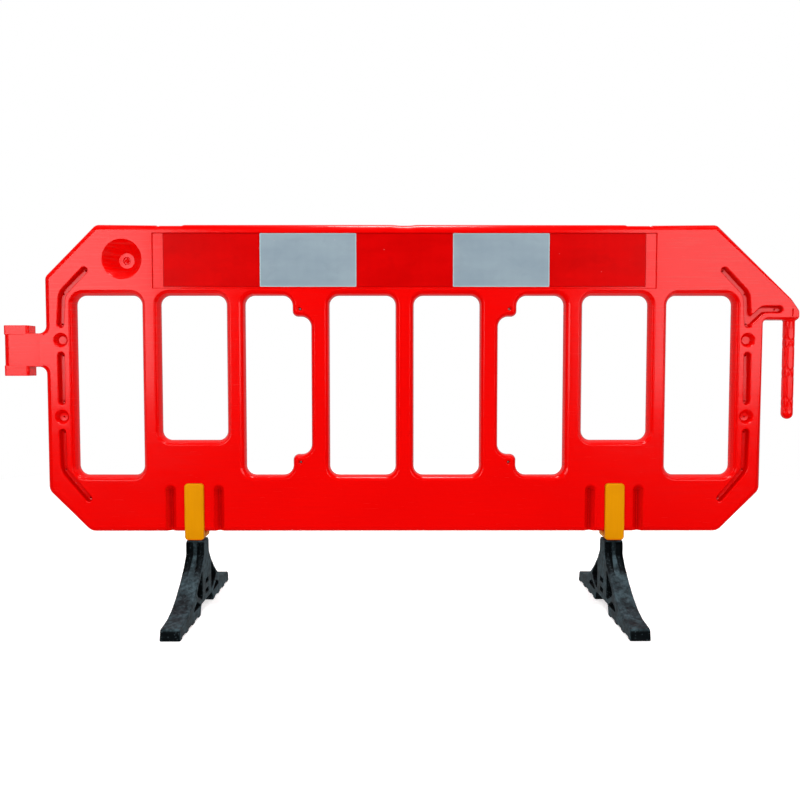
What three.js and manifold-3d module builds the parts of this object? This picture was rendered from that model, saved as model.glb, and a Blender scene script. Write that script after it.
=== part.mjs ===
// Two-metre plastic pedestrian barrier: a hollow moulded panel with windows, a link pin and a pin
// socket for the next barrier, reflective tiles, and two rubber feet that swivel under yellow saddles.
// Millimetres. X runs along the panel, -Y is the front, Z is up and z = 0 is the ground.
import * as THREE from 'three';
import { mergeVertices } from 'three/addons/utils/BufferGeometryUtils.js';
import Module from 'manifold-3d';

const wasm = await Module();
wasm.setup();

// ---- driving dimensions -------------------------------------------------------------------------
const PANEL_HALF_WIDTH = 926;
const PANEL_TOP = 1000;
const PANEL_BOTTOM = 206;
const PANEL_HALF_THICKNESS = 23;
const RIM_HALF_THICKNESS = 5; // flat band left at mid-thickness between the two edge bevels
const BEVEL_IN_PLANE = 12;
const WALL = 3.5;
const CORNER_RISE_TOP = 133; // 45 degree top corner
const CORNER_RISE_BOTTOM = 108;
const SHOULDER_DROP = 1.5; // the middle of the top edge stands this much proud
const SHOULDER_X = 570;

const WINDOW_COUNT = 8;
const WINDOW_PITCH = 218.4;
const WINDOW_WIDTH = 171.4;
const WINDOW_TOP = 819.4;
const WINDOW_BOTTOM = 353;
const SHORT_WINDOW_BOTTOM = 444;
const SHORT_WINDOWS = [1, 6];
const WINDOW_RADIUS = 25;
const LUG = { windows: [2, 5], width: 48, height: 54, fillet: 27, corner: 14, holeX: 27.5, holeZ: 35.5, holeRadius: 3 };

const LINK_AXIS_X = 1000; // pin at +X, socket at -X, so barriers repeat every 2 m
const ARM = { underside: 756, noseX: 1020 };
const PIN = { radius: 14.5, bottom: 499, stubRadius: 9, stubTop: 790 };
const SOCKET = {
  outerX: 34, outerY: 24, wall: 5.5, corner: 19, kneeBottom: 637, kneeTop: 720, top: 742, bottom: 612,
  earOutside: 31, earInside: 33, earCorner: 7,
};
const NECK = { bottom: 635, top: 722, fillet: 19 };

const STRIP = { halfLength: 647, bottom: 835.5, top: 978, depth: 2.5 };
const TILE = { count: 5, length: 247.5, height: 136, middle: 908.5, thickness: 1.2 };

const LAMP = { x: 724, z: 911, rimRadius: 51.8, seatRadius: 19.7, depth: 39, holeRadius: 9.9, holeDepth: 3.5 };
const GROOVE = { halfWidth: 9, depth: 15 };
const POST_X = 884;
const GROOVE_PATHS = [
  [[821, 882], [879, 822], [POST_X, 745]],
  [[POST_X, 664], [POST_X, 546]],
  [[POST_X, 466], [POST_X - 2, 368], [820, 294]],
];
const ARM_GROOVE_PATH = [[POST_X, 747], [922, 783], [964, 783]];
const DIMPLE = { heights: [704, 506], rimRadius: 18.6, floorRadius: 9.3, depth: 13 };
const FLUTE = { offset: 62.5, radius: 14, depth: 7, top: 326 };
const DRAIN_RADIUS = 3.5;

const FOOT_X = 545;
const SADDLE = {
  width: 50, outerY: 31, blockBottom: 185.6, tongueTop: 333.4, slotDepth: 4,
  corner: 9, pegRadius: 7, pegLength: 11, pegHeights: [240, 300],
};
const FIT = 0.3; // gap between touching pieces
const FOOT = { length: 500, width: 48, top: 183.3, headHalf: 24, headBase: 148, toeHeight: 28, archHeight: 24 };
const TREAD = { teeth: 4, toothLength: 16, depth: 4, padStart: 66 };
const POCKET_DEPTH = 18;
const BOLT = { radius: 6, headAcross: 18, headHeight: 7.5, headBottom: 197.7, end: 27 };
const BUSH = { outer: 9, inner: 6.6 };
const COUNTERBORE = { radius: 17, top: 46 };

const ARC_STEPS = 4; // straight pieces per rounded corner
const ROUND_STEPS = 24; // sides of turned parts

// ---- materials ----------------------------------------------------------------------------------
const material = (colour, roughness, metalness = 0) =>
  new THREE.MeshStandardMaterial({ color: colour, roughness, metalness });
const RED_PLASTIC = material(0xe80a08, 0.32);
const RED_FILM = material(0xc2060c, 0.25);
const WHITE_FILM = material(0x9fadb6, 0.25);
const YELLOW_PLASTIC = material(0xe09a08, 0.4);
const RUBBER = material(0x2b3034, 0.85);
const ZINC_STEEL = material(0xb9bcc0, 0.35, 1);
const NYLON = material(0x1c1c1e, 0.5);

// ---- outlines -----------------------------------------------------------------------------------
// Points of a closed outline whose corners [x, y, radius] are replaced by arcs.
function rounded(corners, steps = ARC_STEPS) {
  const points = [];
  corners.forEach(([x, y, radius], i) => {
    const corner = new THREE.Vector2(x, y);
    if (!radius) {
      points.push(corner);
      return;
    }
    const before = corners[(i + corners.length - 1) % corners.length];
    const after = corners[(i + 1) % corners.length];
    const toBefore = new THREE.Vector2(before[0] - x, before[1] - y).normalize();
    const toAfter = new THREE.Vector2(after[0] - x, after[1] - y).normalize();
    const halfAngle = Math.acos(toBefore.dot(toAfter)) / 2;
    const centre = toBefore.clone().add(toAfter).setLength(radius / Math.sin(halfAngle)).add(corner);
    const start = toBefore.clone().multiplyScalar(radius / Math.tan(halfAngle)).add(corner).sub(centre);
    const end = toAfter.clone().multiplyScalar(radius / Math.tan(halfAngle)).add(corner).sub(centre);
    const sweep = Math.atan2(start.cross(end), start.dot(end));
    for (let s = 0; s <= steps; s++) {
      points.push(start.clone().rotateAround(new THREE.Vector2(), (sweep * s) / steps).add(centre));
    }
  });
  return points;
}

// Outline of a band of even width along a line of points, with round ends.
function band(line, halfWidth, capSteps = 5) {
  const path = line.map(([x, y]) => new THREE.Vector2(x, y));
  const headings = path.slice(1).map((p, i) => p.clone().sub(path[i]).normalize());
  const side = (sign) => path.map((p, i) => {
    const before = headings[Math.max(i - 1, 0)];
    const after = headings[Math.min(i, headings.length - 1)];
    const middle = before.clone().add(after).normalize();
    const reach = (sign * halfWidth) / middle.dot(before);
    return new THREE.Vector2(p.x - middle.y * reach, p.y + middle.x * reach);
  });
  const cap = (centre, from) => {
    const points = [];
    for (let s = 1; s < capSteps; s++) {
      points.push(from.clone().rotateAround(centre, (-Math.PI * s) / capSteps));
    }
    return points;
  };
  const left = side(1);
  const right = side(-1).reverse();
  return [...left, ...cap(path.at(-1), left.at(-1)), ...right, ...cap(path[0], right.at(-1))];
}

const rectangle = (x0, y0, x1, y1, radius = 0) =>
  [[x0, y0, radius], [x1, y0, radius], [x1, y1, radius], [x0, y1, radius]];

// ---- solids -------------------------------------------------------------------------------------
function solid(geometry) {
  const bare = geometry.clone();
  bare.deleteAttribute('normal');
  bare.deleteAttribute('uv');
  const merged = mergeVertices(bare, 1e-3);
  return new wasm.Manifold(new wasm.Mesh({
    numProp: 3,
    vertProperties: merged.attributes.position.array,
    triVerts: new Uint32Array(merged.index.array),
  }));
}

const join = (...solids) => solids.reduce((all, next) => all.add(next));
const cut = (body, ...tools) => tools.reduce((rest, tool) => rest.subtract(tool), body);
const mirrored = (body, [x, y, z]) => body.mirror([x, y, z]);

const FACING_FRONT = new THREE.Matrix4().makeBasis(
  new THREE.Vector3(1, 0, 0), new THREE.Vector3(0, 0, 1), new THREE.Vector3(0, -1, 0));
const FACING_SIDE = new THREE.Matrix4().makeBasis(
  new THREE.Vector3(0, 1, 0), new THREE.Vector3(0, 0, 1), new THREE.Vector3(1, 0, 0));

// An X-Z outline made into a solid from y0 (front) to y1 (back).
function plate(points, y0, y1, { holes = [], bevel = 0, inset = bevel } = {}) {
  const shape = new THREE.Shape(points);
  shape.holes = holes.map((hole) => new THREE.Path(hole));
  const geometry = new THREE.ExtrudeGeometry(shape, {
    depth: y1 - y0 - 2 * bevel,
    bevelEnabled: bevel > 0,
    bevelThickness: bevel,
    bevelSize: inset,
    bevelOffset: -inset,
    bevelSegments: 1,
  });
  geometry.translate(0, 0, bevel);
  geometry.applyMatrix4(FACING_FRONT);
  geometry.translate(0, y1, 0);
  return solid(geometry);
}

// A Y-Z outline made into a solid from x0 to x1.
function slice(points, x0, x1, bevel = 0) {
  const geometry = new THREE.ExtrudeGeometry(new THREE.Shape(points), {
    depth: x1 - x0 - 2 * bevel,
    bevelEnabled: bevel > 0,
    bevelThickness: bevel,
    bevelSize: bevel,
    bevelOffset: -bevel,
    bevelSegments: 1,
  });
  geometry.translate(0, 0, bevel + x0);
  geometry.applyMatrix4(FACING_SIDE);
  return solid(geometry);
}

// An X-Y outline made into a solid from z0 to z1.
function slab(points, z0, z1) {
  const geometry = new THREE.ExtrudeGeometry(new THREE.Shape(points), { depth: z1 - z0, bevelEnabled: false });
  geometry.translate(0, 0, z0);
  return solid(geometry);
}

function block(x0, x1, y0, y1, z0, z1) {
  const geometry = new THREE.BoxGeometry(x1 - x0, y1 - y0, z1 - z0);
  geometry.translate((x0 + x1) / 2, (y0 + y1) / 2, (z0 + z1) / 2);
  return solid(geometry);
}

// An upright round bar, or a hexagonal one with sides = 6.
function bar(x, y, z0, z1, radius, sides = ROUND_STEPS) {
  const geometry = new THREE.CylinderGeometry(radius, radius, z1 - z0, sides);
  geometry.rotateX(Math.PI / 2);
  geometry.translate(x, y, (z0 + z1) / 2);
  return solid(geometry);
}

// A cone whose axis runs front to back, radius0 at y0 and radius1 at y1.
function bowl(x, z, y0, y1, radius0, radius1, sides = ROUND_STEPS) {
  const geometry = new THREE.CylinderGeometry(radius1, radius0, y1 - y0, sides);
  geometry.translate(x, (y0 + y1) / 2, z);
  return solid(geometry);
}

// ---- panel --------------------------------------------------------------------------------------
const windowCentre = (i) => (i - (WINDOW_COUNT - 1) / 2) * WINDOW_PITCH;
const windowBottom = (i) => (SHORT_WINDOWS.includes(i) ? SHORT_WINDOW_BOTTOM : WINDOW_BOTTOM);

// One window, wider by grow all round. A lugged window has a square lug in both inner corners.
function windowOutline(i, grow = 0, withLugs = true, steps = ARC_STEPS) {
  const half = WINDOW_WIDTH / 2 + grow;
  const low = windowBottom(i) - grow;
  const high = WINDOW_TOP + grow;
  const centre = windowCentre(i);
  const inward = centre < 0 ? 1 : -1;
  const radius = WINDOW_RADIUS + grow;
  let corners = rectangle(-half, low, half, high, radius);
  if (withLugs && LUG.windows.includes(i)) {
    const { width, height, fillet, corner } = LUG;
    corners = [
      [-half, low, radius],
      [half - width, low, fillet], [half - width, low + height, corner], [half, low + height, fillet],
      [half, high - height, fillet], [half - width, high - height, corner], [half - width, high, fillet],
      [-half, high, radius],
    ];
  }
  return rounded(corners.map(([x, z, r]) => [centre + inward * x, z, r]), steps);
}

// The panel's edge at mid-thickness, with the arm and its blunt nose at the +X end.
function panelOutline() {
  const shoulder = PANEL_TOP - SHOULDER_DROP;
  const armStep = 22;
  return rounded([
    [-PANEL_HALF_WIDTH, PANEL_BOTTOM + CORNER_RISE_BOTTOM, 30],
    [-PANEL_HALF_WIDTH + CORNER_RISE_BOTTOM, PANEL_BOTTOM, 30],
    [PANEL_HALF_WIDTH - CORNER_RISE_BOTTOM, PANEL_BOTTOM, 30],
    [PANEL_HALF_WIDTH, PANEL_BOTTOM + CORNER_RISE_BOTTOM, 30],
    [PANEL_HALF_WIDTH, ARM.underside, 10],
    [ARM.noseX, ARM.underside, 0],
    [ARM.noseX, ARM.underside + armStep, 0],
    [ARM.noseX - armStep, ARM.underside + 2.5 * armStep, 0],
    [PANEL_HALF_WIDTH - CORNER_RISE_TOP + 10, shoulder, 20],
    [SHOULDER_X + SHOULDER_DROP, shoulder, 0],
    [SHOULDER_X, PANEL_TOP, 0],
    [-SHOULDER_X, PANEL_TOP, 0],
    [-SHOULDER_X - SHOULDER_DROP, shoulder, 0],
    [-PANEL_HALF_WIDTH + CORNER_RISE_TOP, shoulder, 20],
    [-PANEL_HALF_WIDTH, shoulder - CORNER_RISE_TOP, 20],
  ]);
}

// The hollow inside the walls. It stops short of the arm, which is solid.
function cavity() {
  const edge = 4;
  const half = PANEL_HALF_WIDTH - edge;
  const low = PANEL_BOTTOM + edge;
  const high = PANEL_TOP - edge - SHOULDER_DROP;
  const windows = [...Array(WINDOW_COUNT).keys()];
  const hollow = plate([
    [-half, low + CORNER_RISE_BOTTOM], [-half + CORNER_RISE_BOTTOM, low],
    [half - CORNER_RISE_BOTTOM, low], [half, low + CORNER_RISE_BOTTOM],
    [half, high - CORNER_RISE_TOP], [half - CORNER_RISE_TOP, high],
    [-half + CORNER_RISE_TOP, high], [-half, high - CORNER_RISE_TOP],
  ].map(([x, z]) => new THREE.Vector2(x, z)), -PANEL_HALF_THICKNESS + WALL, PANEL_HALF_THICKNESS - WALL, {
    holes: windows.map((i) => windowOutline(i, edge, false, 2)),
    bevel: PANEL_HALF_THICKNESS - RIM_HALF_THICKNESS,
    inset: BEVEL_IN_PLANE,
  });
  return cut(hollow, ...faces(tackOffs), ...[-1, 1].map(saddlePad));
}

// Both faces of a list of front-face tools; the back ones are their mirror images.
function faces(tools) {
  const front = tools();
  return [...front, ...front.map((tool) => mirrored(tool, [0, 1, 0]))];
}

// Tools for the two end posts: grooves and dimples, wider by grow and from the face to y1.
function postTools(grow, y1) {
  const front = -PANEL_HALF_THICKNESS - 1;
  const tools = [];
  for (const side of [-1, 1]) {
    for (const path of GROOVE_PATHS) {
      const line = path.map(([x, z]) => [side * x, z]);
      tools.push(plate(band(line, GROOVE.halfWidth + grow), front, y1));
    }
    for (const z of DIMPLE.heights) {
      const steepness = (DIMPLE.rimRadius - DIMPLE.floorRadius) / DIMPLE.depth;
      const floorY = -PANEL_HALF_THICKNESS + DIMPLE.depth + grow;
      tools.push(bowl(side * POST_X, z, front, floorY,
        DIMPLE.rimRadius + steepness + grow, DIMPLE.floorRadius + grow, 16));
    }
  }
  return tools;
}

// Where the front wall is pressed in far enough to close the hollow, or to thicken the wall.
function tackOffs() {
  const strip = STRIP;
  return [
    ...postTools(WALL, 0.5),
    block(-strip.halfLength - 4, strip.halfLength + 4, -PANEL_HALF_THICKNESS,
      -PANEL_HALF_THICKNESS + strip.depth + WALL, strip.bottom - 4, strip.top + 4),
    ...[-1, 1].flatMap((side) => fluteTools(side, WALL)),
  ];
}

// A solid pad across the hollow for each saddle, so that its pegs have something to bite.
function saddlePad(side) {
  const half = SADDLE.width / 2 + 5;
  const x = side * FOOT_X;
  const y = PANEL_HALF_THICKNESS;
  return block(x - half, x + half, -y, y, PANEL_BOTTOM, SADDLE.tongueTop + 5);
}

function fluteTools(side, grow = 0) {
  const y = -PANEL_HALF_THICKNESS - FLUTE.radius + FLUTE.depth;
  return [-1, 1].map((hand) =>
    bar(side * FOOT_X + hand * FLUTE.offset, y, PANEL_BOTTOM - 5, FLUTE.top + grow, FLUTE.radius + grow, 16));
}

// A lamp recess: a cone down to a flat seat with a blind hole. side -1 is on the front, +1 on the back.
function lampTools(side, grow = 0) {
  const { x, z, rimRadius, seatRadius, depth, holeRadius, holeDepth } = LAMP;
  const steepness = (rimRadius - seatRadius) / depth;
  const floorY = -PANEL_HALF_THICKNESS + depth;
  const cone = bowl(-x, z, -PANEL_HALF_THICKNESS - 1, floorY + Math.min(grow, WALL),
    rimRadius + steepness + grow, seatRadius + grow);
  const hole = bowl(-x, z, floorY - 1, floorY + holeDepth, holeRadius, holeRadius);
  const tools = grow ? [cone, bowl(-x, z, floorY - 1, PANEL_HALF_THICKNESS, seatRadius, seatRadius)] : [cone, hole];
  return side < 0 ? tools : tools.map((tool) => mirrored(mirrored(tool, [0, 1, 0]), [1, 0, 0]));
}

// Front-face tools for what is the same on both faces.
function faceTools() {
  const front = -PANEL_HALF_THICKNESS - 1;
  const floor = -PANEL_HALF_THICKNESS;
  const slotHalf = SADDLE.width / 2 + FIT;
  const tools = [
    ...postTools(0, floor + GROOVE.depth),
    plate(band(ARM_GROOVE_PATH, GROOVE.halfWidth), front, floor + GROOVE.depth),
    block(-STRIP.halfLength, STRIP.halfLength, front, floor + STRIP.depth, STRIP.bottom, STRIP.top),
  ];
  for (const side of [-1, 1]) {
    const x = side * FOOT_X;
    tools.push(...fluteTools(side));
    tools.push(block(x - slotHalf, x + slotHalf, front, floor + SADDLE.slotDepth,
      PANEL_BOTTOM - 1, SADDLE.tongueTop + FIT));
    for (const z of SADDLE.pegHeights) {
      const depth = floor + SADDLE.slotDepth + SADDLE.pegLength + FIT;
      tools.push(bowl(x, z, floor, depth, SADDLE.pegRadius + FIT, SADDLE.pegRadius + FIT, 12));
    }
  }
  return tools;
}

// The neck and the three loops that take the next barrier's pin: the middle one is open at the
// back, and the ears above and below it are closed.
function socket() {
  const { outerX, outerY, wall, corner, kneeBottom, kneeTop, top, bottom } = SOCKET;
  const x = -LINK_AXIS_X;
  const overlap = 4;
  const tube = (x0, x1, radius, z0, z1) => {
    const outer = rounded(rectangle(x0, -outerY, x1, outerY, radius));
    const inner = rounded(rectangle(x0 + wall, -outerY + wall, x1 - wall, outerY - wall, radius - wall));
    return cut(slab(outer, z0, z1), slab(inner, z0 - 1, z1 + 1));
  };
  const reach = outerX + 1;
  const frontHalf = block(x - reach, x + reach, -outerY - 1, overlap, kneeBottom - 1, kneeTop + 1);
  const frontLoop = tube(x - outerX, x + outerX, corner, kneeBottom, kneeTop).intersect(frontHalf);
  const ears = [[kneeTop - overlap / 2, top], [bottom, kneeBottom + overlap / 2]].map(([z0, z1]) =>
    tube(x - SOCKET.earOutside, x + SOCKET.earInside, SOCKET.earCorner, z0, z1));
  const neckEnd = x + outerX - wall;
  const edge = -PANEL_HALF_WIDTH;
  const root = 20;
  const inset = 1.5 * NECK.fillet;
  const neck = plate(rounded([
    [neckEnd, NECK.bottom, 0], [edge, NECK.bottom, NECK.fillet], [edge, NECK.bottom - inset, 0],
    [edge + root, NECK.bottom - inset, 0], [edge + root, NECK.top + inset, 0],
    [edge, NECK.top + inset, 0], [edge, NECK.top, NECK.fillet], [neckEnd, NECK.top, 0],
  ]), -PANEL_HALF_THICKNESS, PANEL_HALF_THICKNESS, { bevel: 5, inset: 4 });
  return join(neck, frontLoop, ...ears);
}

function panel() {
  const windows = [...Array(WINDOW_COUNT).keys()];
  const shell = plate(panelOutline(), -PANEL_HALF_THICKNESS, PANEL_HALF_THICKNESS, {
    holes: windows.map((i) => windowOutline(i)),
    bevel: PANEL_HALF_THICKNESS - RIM_HALF_THICKNESS,
    inset: BEVEL_IN_PLANE,
  });
  const hollow = cut(cavity(), ...lampTools(-1, WALL), ...lampTools(1, WALL));
  const drain = bar(0, 0, PANEL_BOTTOM - 1, PANEL_BOTTOM + 20, DRAIN_RADIUS, 12);
  const pinSeat = bar(LINK_AXIS_X, 0, ARM.underside - 1, PIN.stubTop + FIT, PIN.stubRadius + FIT);
  const lugHoles = LUG.windows.flatMap((i) => {
    const inward = windowCentre(i) < 0 ? 1 : -1;
    const x = windowCentre(i) + inward * (WINDOW_WIDTH / 2 - LUG.holeX);
    return [WINDOW_TOP - LUG.holeZ, WINDOW_BOTTOM + LUG.holeZ].map((z) =>
      bowl(x, z, -PANEL_HALF_THICKNESS - 1, PANEL_HALF_THICKNESS + 1, LUG.holeRadius, LUG.holeRadius, 8));
  });
  return cut(join(shell, socket()), hollow, drain, pinSeat, ...lugHoles,
    ...lampTools(-1), ...lampTools(1), ...faces(faceTools));
}

// ---- link pin, reflective tiles -----------------------------------------------------------------
function linkPin() {
  const profile = [[0, PIN.bottom]];
  for (let s = 1; s <= ARC_STEPS; s++) {
    const angle = (Math.PI / 2) * (s / ARC_STEPS);
    profile.push([PIN.radius * Math.sin(angle), PIN.bottom + PIN.radius * (1 - Math.cos(angle))]);
  }
  const seat = ARM.underside - FIT;
  profile.push([PIN.radius, seat], [PIN.stubRadius, seat], [PIN.stubRadius, PIN.stubTop], [0, PIN.stubTop]);
  const geometry = new THREE.LatheGeometry(profile.map(([r, z]) => new THREE.Vector2(r, z)), ROUND_STEPS);
  geometry.rotateX(Math.PI / 2);
  geometry.translate(LINK_AXIS_X, 0, 0);
  return solid(geometry);
}

function tile(i) {
  const x = (i - (TILE.count - 1) / 2) * TILE.length;
  const half = (TILE.length - FIT) / 2;
  const y = -PANEL_HALF_THICKNESS + STRIP.depth - FIT;
  return block(x - half, x + half, y - TILE.thickness, y,
    TILE.middle - TILE.height / 2, TILE.middle + TILE.height / 2);
}

// ---- saddle, pivot and foot, each about x = 0 ---------------------------------------------------
function saddle() {
  const half = SADDLE.width / 2;
  const innerY = PANEL_HALF_THICKNESS - SADDLE.slotDepth + FIT;
  const { outerY, blockBottom, tongueTop, corner, pegRadius, pegLength } = SADDLE;
  const face = rounded(rectangle(-half, blockBottom, half, tongueTop, corner), 3);
  const tongue = plate(face, -outerY, -innerY, { bevel: 1.5 });
  const pegs = SADDLE.pegHeights.map((z) =>
    bowl(0, z, -innerY - 1, -innerY + pegLength, pegRadius, pegRadius, 12));
  const front = join(tongue, ...pegs);
  const base = block(-half, half, -outerY + 3, outerY - 3, blockBottom, PANEL_BOTTOM - FIT);
  const boltHole = bar(0, 0, blockBottom - 1, PANEL_BOTTOM, BOLT.radius + FIT);
  const headRoom = bar(0, 0, BOLT.headBottom - FIT, PANEL_BOTTOM, BOLT.headAcross / Math.sqrt(3) + 2 * FIT, 6);
  return cut(join(front, mirrored(front, [0, 1, 0]), base), boltHole, headRoom);
}

function pivotBolt() {
  const head = bar(0, 0, BOLT.headBottom, BOLT.headBottom + BOLT.headHeight, BOLT.headAcross / Math.sqrt(3), 6);
  return join(head, bar(0, 0, BOLT.end, BOLT.headBottom + 1, BOLT.radius));
}

const ring = (z0, z1, outer, inner, sides = ROUND_STEPS) =>
  cut(bar(0, 0, z0, z1, outer, sides), bar(0, 0, z0 - 1, z1 + 1, inner));

// Half of the foot's upper edge, from the head down to the toe, as [distance from the middle, height].
const FOOT_SLOPE = [
  [FOOT.headHalf, FOOT.headBase], [46, 121], [84, 91], [122, 64], [156, 46], [192, 35],
];

function footOutline() {
  const toe = FOOT.length / 2;
  const { teeth, toothLength, depth, padStart } = TREAD;
  const pitch = (toe - padStart - toothLength) / (teeth - 1);
  const half = [[FOOT.headHalf, FOOT.top - 4], [FOOT.headHalf - 4, FOOT.top]].reverse();
  half.push(...FOOT_SLOPE, [toe - 8, FOOT.toeHeight + 1], [toe, FOOT.toeHeight - 6], [toe, 2], [toe - 2, 0]);
  for (let t = teeth - 1; t >= 0; t--) {
    const start = padStart + t * pitch;
    half.push([start, 0]);
    if (t > 0) {
      half.push([start - 3, depth], [start - pitch + toothLength + 3, depth], [start - pitch + toothLength, 0]);
    }
  }
  half.push([padStart - 10, FOOT.archHeight]);
  const other = half.map(([y, z]) => [-y, z]).reverse();
  return [...half, ...other].map(([y, z]) => new THREE.Vector2(y, z));
}

// Hollows moulded into each side of the foot: two at the front and two at the back, either side
// of a diagonal rib, and two small windows in the middle column.
function footPockets() {
  const upper = [[34, 112, 3], [48, 106, 4], [84, 78, 6], [94, 64, 4], [84, 55, 4], [40, 34, 3], [34, 38, 3]];
  const lower = [[60, 28, 3], [98, 46, 4], [120, 38, 4], [134, 28, 3]];
  const outlines = [-1, 1].flatMap((end) =>
    [upper, lower].map((outline) => outline.map(([y, z, r]) => [end * y, z, r])));
  const side = FOOT.width / 2;
  const pockets = outlines.map((outline) => slice(rounded(outline, 2), side - POCKET_DEPTH, side + 1));
  const holes = [47, 74].map((z) => block(side - 6, side + 1, -6, 6, z - 6, z + 6));
  return [...pockets, ...holes].flatMap((tool) => [tool, mirrored(tool, [1, 0, 0])]);
}

function foot() {
  const side = FOOT.width / 2;
  return cut(slice(footOutline(), -side, side, 1.2), ...footPockets(),
    bar(0, 0, COUNTERBORE.top - 1, FOOT.top + 1, BUSH.outer + FIT),
    bar(0, 0, FOOT.archHeight - 1, COUNTERBORE.top, COUNTERBORE.radius));
}

// ---- assembly -----------------------------------------------------------------------------------
function piece(name, body, look) {
  const made = body.getMesh();
  const geometry = new THREE.BufferGeometry();
  geometry.setAttribute('position', new THREE.BufferAttribute(made.vertProperties, 3));
  geometry.setIndex(new THREE.BufferAttribute(made.triVerts, 1));
  geometry.computeVertexNormals();
  const mesh = new THREE.Mesh(geometry, look);
  mesh.name = name;
  return mesh;
}

const barrier = new THREE.Group();
barrier.add(piece('panel', panel(), RED_PLASTIC));
barrier.add(piece('link_pin', linkPin(), RED_PLASTIC));

for (let i = 0; i < TILE.count; i++) {
  const look = i % 2 ? WHITE_FILM : RED_FILM;
  barrier.add(piece('reflector_front_' + (i + 1), tile(i), look));
  barrier.add(piece('reflector_back_' + (i + 1), mirrored(tile(i), [0, 1, 0]), look));
}

for (const [side, x] of [['left', -FOOT_X], ['right', FOOT_X]]) {
  const leg = new THREE.Group();
  leg.position.x = x;
  const nutTop = COUNTERBORE.top - 3.3;
  leg.add(piece('saddle_' + side, saddle(), YELLOW_PLASTIC));
  leg.add(piece('pivot_bolt_' + side, pivotBolt(), ZINC_STEEL));
  leg.add(piece('thrust_washer_' + side, ring(FOOT.top + FIT, SADDLE.blockBottom - FIT, 21, 6.5), NYLON));
  leg.add(piece('pivot_bush_' + side, ring(COUNTERBORE.top, FOOT.top, BUSH.outer, BUSH.inner), ZINC_STEEL));
  leg.add(piece('lock_washer_' + side, ring(nutTop + FIT, COUNTERBORE.top - FIT, 15, 6.5), ZINC_STEEL));
  leg.add(piece('lock_nut_' + side, ring(nutTop - 11, nutTop, BOLT.headAcross / Math.sqrt(3), 6.4, 6), ZINC_STEEL));
  leg.add(piece('foot_' + side, foot(), RUBBER));
  barrier.add(leg);
}

export default barrier;
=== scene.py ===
import math

import bmesh
import bpy
import numpy as np
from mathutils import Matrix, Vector
from mathutils.geometry import delaunay_2d_cdt

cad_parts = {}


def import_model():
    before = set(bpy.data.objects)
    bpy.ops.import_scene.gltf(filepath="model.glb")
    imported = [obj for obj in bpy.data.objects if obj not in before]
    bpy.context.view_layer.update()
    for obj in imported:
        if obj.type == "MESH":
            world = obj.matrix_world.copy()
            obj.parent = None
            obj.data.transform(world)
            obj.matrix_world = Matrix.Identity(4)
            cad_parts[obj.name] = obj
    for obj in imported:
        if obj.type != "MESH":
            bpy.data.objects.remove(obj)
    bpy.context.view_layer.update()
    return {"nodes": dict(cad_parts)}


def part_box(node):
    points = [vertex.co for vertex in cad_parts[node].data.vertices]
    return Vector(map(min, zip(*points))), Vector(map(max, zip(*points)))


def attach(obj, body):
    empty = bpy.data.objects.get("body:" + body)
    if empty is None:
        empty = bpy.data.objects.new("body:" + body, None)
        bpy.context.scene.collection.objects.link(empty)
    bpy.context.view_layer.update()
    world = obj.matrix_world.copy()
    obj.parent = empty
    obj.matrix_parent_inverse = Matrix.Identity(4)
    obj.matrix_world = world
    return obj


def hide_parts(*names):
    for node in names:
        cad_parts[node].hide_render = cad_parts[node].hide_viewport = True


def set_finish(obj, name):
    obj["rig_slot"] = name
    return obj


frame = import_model()

# Plastic pedestrian barrier. Shapes are worked out in millimetres in the row frame and turned into
# metres when a mesh is made. X runs along the panel, -Y is the front, Z is up, z = 0 is the ground.
MM = 0.001
FACE = 23  # half the panel's thickness

# ---- sizes --------------------
PANEL_X, PANEL_TOP, PANEL_BOTTOM = 926, 1000, 206
CORNER_TOP, CORNER_BOTTOM = 133, 108
ARM_Z, NOSE_X = 756, 1020
NECK_X, NECK_TOP, NECK_BOTTOM, NECK_FILLET = -970, 722, 635, 19
WINDOW_PITCH, WINDOW_WIDTH, WINDOW_TOP = 218.4, 171.4, 819.4
WINDOW_BOTTOM = [353, 444, 353, 353, 353, 353, 444, 353]
WINDOW_COUNT, WINDOW_RADIUS = len(WINDOW_BOTTOM), 25
LUG_WINDOWS, SOFT_WINDOWS = (2, 5), (2, 3, 4, 5)
LUG_WIDTH, LUG_HEIGHT, LUG_FILLET, LUG_CORNER = 48, 54, 27, 14
LUG_HOLE_X, LUG_HOLE_Z, LUG_HOLE_RADIUS = 27.5, 35.5, 6.6
LINK_X = 1000
PIN_RADIUS, PIN_BOTTOM = 14.5, 499
PIN_CROSSINGS, PIN_COLUMNS = (698, 620.5, 542), 4
KNUCKLE_BOTTOM, KNUCKLE_TOP, EAR_BOTTOM, EAR_TOP = 637, 720, 612, 742
EAR_OUTSIDE, EAR_INSIDE, EAR_CORNER = 31, 33, 7
STRIP_X, STRIP_BOTTOM, STRIP_TOP, STRIP_DEPTH = 647, 835.5, 978, 2.5
TILE_LENGTH, TILE_GAP, TILE_COUNT = 247.5, 0.3, 5
LAMP_X, LAMP_Z = 724, 911
POST_X = 884
GROOVES = [
    [(821, 882), (879, 822), (POST_X, 745)],
    [(POST_X, 664), (POST_X, 546)],
    [(POST_X, 466), (POST_X - 2, 368), (820, 294)],
]
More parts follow.
